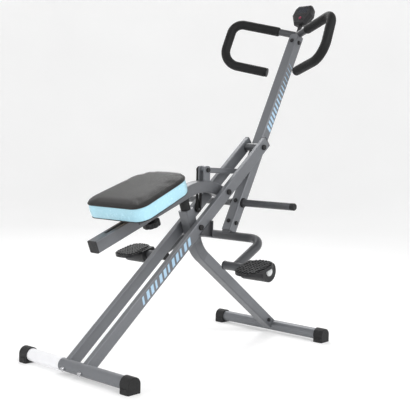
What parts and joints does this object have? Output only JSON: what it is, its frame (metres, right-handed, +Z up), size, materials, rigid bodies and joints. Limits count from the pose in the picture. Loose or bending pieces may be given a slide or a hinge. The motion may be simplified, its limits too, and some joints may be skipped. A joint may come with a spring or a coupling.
{
  "type": "ab crunch machine",
  "caption": "Free-standing crunch exerciser: a padded seat on a swinging arm, linked to a pivoting post with handlebar, foot pegs and pedals, on two inclined rails.",
  "frame": {"origin": "on the floor, in the mid-plane, half way along the machine", "axes": "+X forward from the rear stabilizer to the handlebar, +Y to the user's left, +Z up"},
  "size_m": [1.1317, 0.648, 1.2216],
  "materials": {
    "frame_paint": "satin grey paint",
    "dark_paint": "satin dark grey paint",
    "black_plastic": "moulded black plastic",
    "rubber": "matt black rubber",
    "grip_foam": "closed-cell foam",
    "steel": "zinc plated",
    "white_label": "blank white wrap",
    "seat_blue": "glossy vinyl",
    "seat_black": "soft vinyl",
    "foam": "seat foam",
    "board": "plywood",
    "display": "smoked window",
    "button_red": "red plastic",
    "plug_grey": "light grey plug"
  },
  "bodies": {
    "frame": {"rear_stabilizer": "frame_paint", "front_stabilizer": "frame_paint", "rear_cap_left": "rubber", "rear_cap_right": "rubber", "front_cap_left": "rubber", "front_cap_right": "rubber", "label_sleeve": "white_label", "rail_left": "frame_paint", "rail_right": "frame_paint", "rail_plugs": "black_plastic", "front_leg": "frame_paint", "bumper": "rubber", "leg_stub": "frame_paint", "leg_spacers": "dark_paint", "gusset_left": "dark_paint", "gusset_right": "dark_paint", "rail_bolts": "steel", "rail_bolt_caps": "black_plastic", "rear_bolts": "steel", "leg_foot_bolt": "black_plastic", "band_peg": "dark_paint"},
    "post": {"post_tube": "frame_paint", "post_bushing": "dark_paint", "link_ears": "dark_paint", "link_front_pin": "steel", "peg_bar": "dark_paint", "peg_collars": "black_plastic", "peg_caps": "black_plastic", "pedal_stub": "dark_paint", "pedal_bar": "dark_paint", "pedal_axle_left": "dark_paint", "pedal_axle_right": "dark_paint", "axle_plugs": "black_plastic", "post_screws": "black_plastic", "handlebar": "dark_paint", "bar_stub": "frame_paint", "grip_left": "grip_foam", "grip_right": "grip_foam", "grip_plugs": "black_plastic", "console_stem": "black_plastic", "console_housing": "black_plastic", "console_lens": "display"},
    "button": {"console_button": "button_red"},
    "arm": {"seat_arm": "frame_paint", "arm_plug": "black_plastic", "arm_sleeve": "dark_paint", "link_lugs": "frame_paint", "link_rear_pin": "black_plastic"},
    "link": {"link_bar": "frame_paint"},
    "band": {"resistance_band": "rubber"},
    "seat": {"seat_carriage": "dark_paint", "seat_board": "board", "seat_foam": "foam", "seat_side": "seat_blue", "seat_top": "seat_black"},
    "knob": {"seat_knob": "black_plastic"},
    "pedal_left": {"pedal_left": "black_plastic", "pedal_plug_left": "plug_grey"},
    "pedal_right": {"pedal_right": "black_plastic", "pedal_plug_right": "plug_grey"}
  },
  "joints": [
    {"name": "post_swing", "type": "hinge", "parent": "frame", "child": "post", "pos_m": [0.25015, 0, 0.68442], "axis": [0, -1, 0], "range_deg": [0, 24]},
    {"name": "arm_swing", "type": "hinge", "parent": "frame", "child": "arm", "pos_m": [0.0666, 0, 0.53041], "axis": [0, 1, 0], "range_deg": [0, 29.1], "stiffness_Nm_per_rad": 8},
    {"name": "link_swing", "type": "hinge", "parent": "post", "child": "link", "pos_m": [0.20203, 0, 0.59704], "axis": [0, -1, 0], "range_deg": [-34.5, 0]},
    {"name": "band_swing", "type": "hinge", "parent": "frame", "child": "band", "pos_m": [-0.00298, 0.025, 0.47003], "axis": [0, 1, 0], "range_deg": [0, 15.7], "deforming": ["resistance_band"]},
    {"name": "seat_slide", "type": "slide", "parent": "arm", "child": "seat", "axis": [0.9291, 0, 0.3697], "range_m": [-0.12, 0.06]},
    {"name": "knob_turn", "type": "hinge", "parent": "seat", "child": "knob", "pos_m": [-0.25342, 0, 0.44805], "axis": [0.3697, 0, -0.9291], "continuous": true},
    {"name": "pedal_left_tilt", "type": "hinge", "parent": "post", "child": "pedal_left", "pos_m": [-0.04194, 0.275, 0.29977], "axis": [0, 1, 0], "range_deg": [-25, 25]},
    {"name": "pedal_right_tilt", "type": "hinge", "parent": "post", "child": "pedal_right", "pos_m": [-0.04194, -0.275, 0.29977], "axis": [0, 1, 0], "range_deg": [-25, 25]},
    {"name": "button_press", "type": "slide", "parent": "post", "child": "button", "axis": [0.891, 0, -0.454], "range_m": [0, 0.0012], "stiffness_N_per_m": 400}
  ],
  "couplings": [
    {"joint": "arm_swing", "follows": "post_swing", "ratio": 1.21},
    {"joint": "link_swing", "follows": "post_swing", "ratio": -1.43},
    {"joint": "band_swing", "follows": "post_swing", "ratio": 0.65}
  ]
}
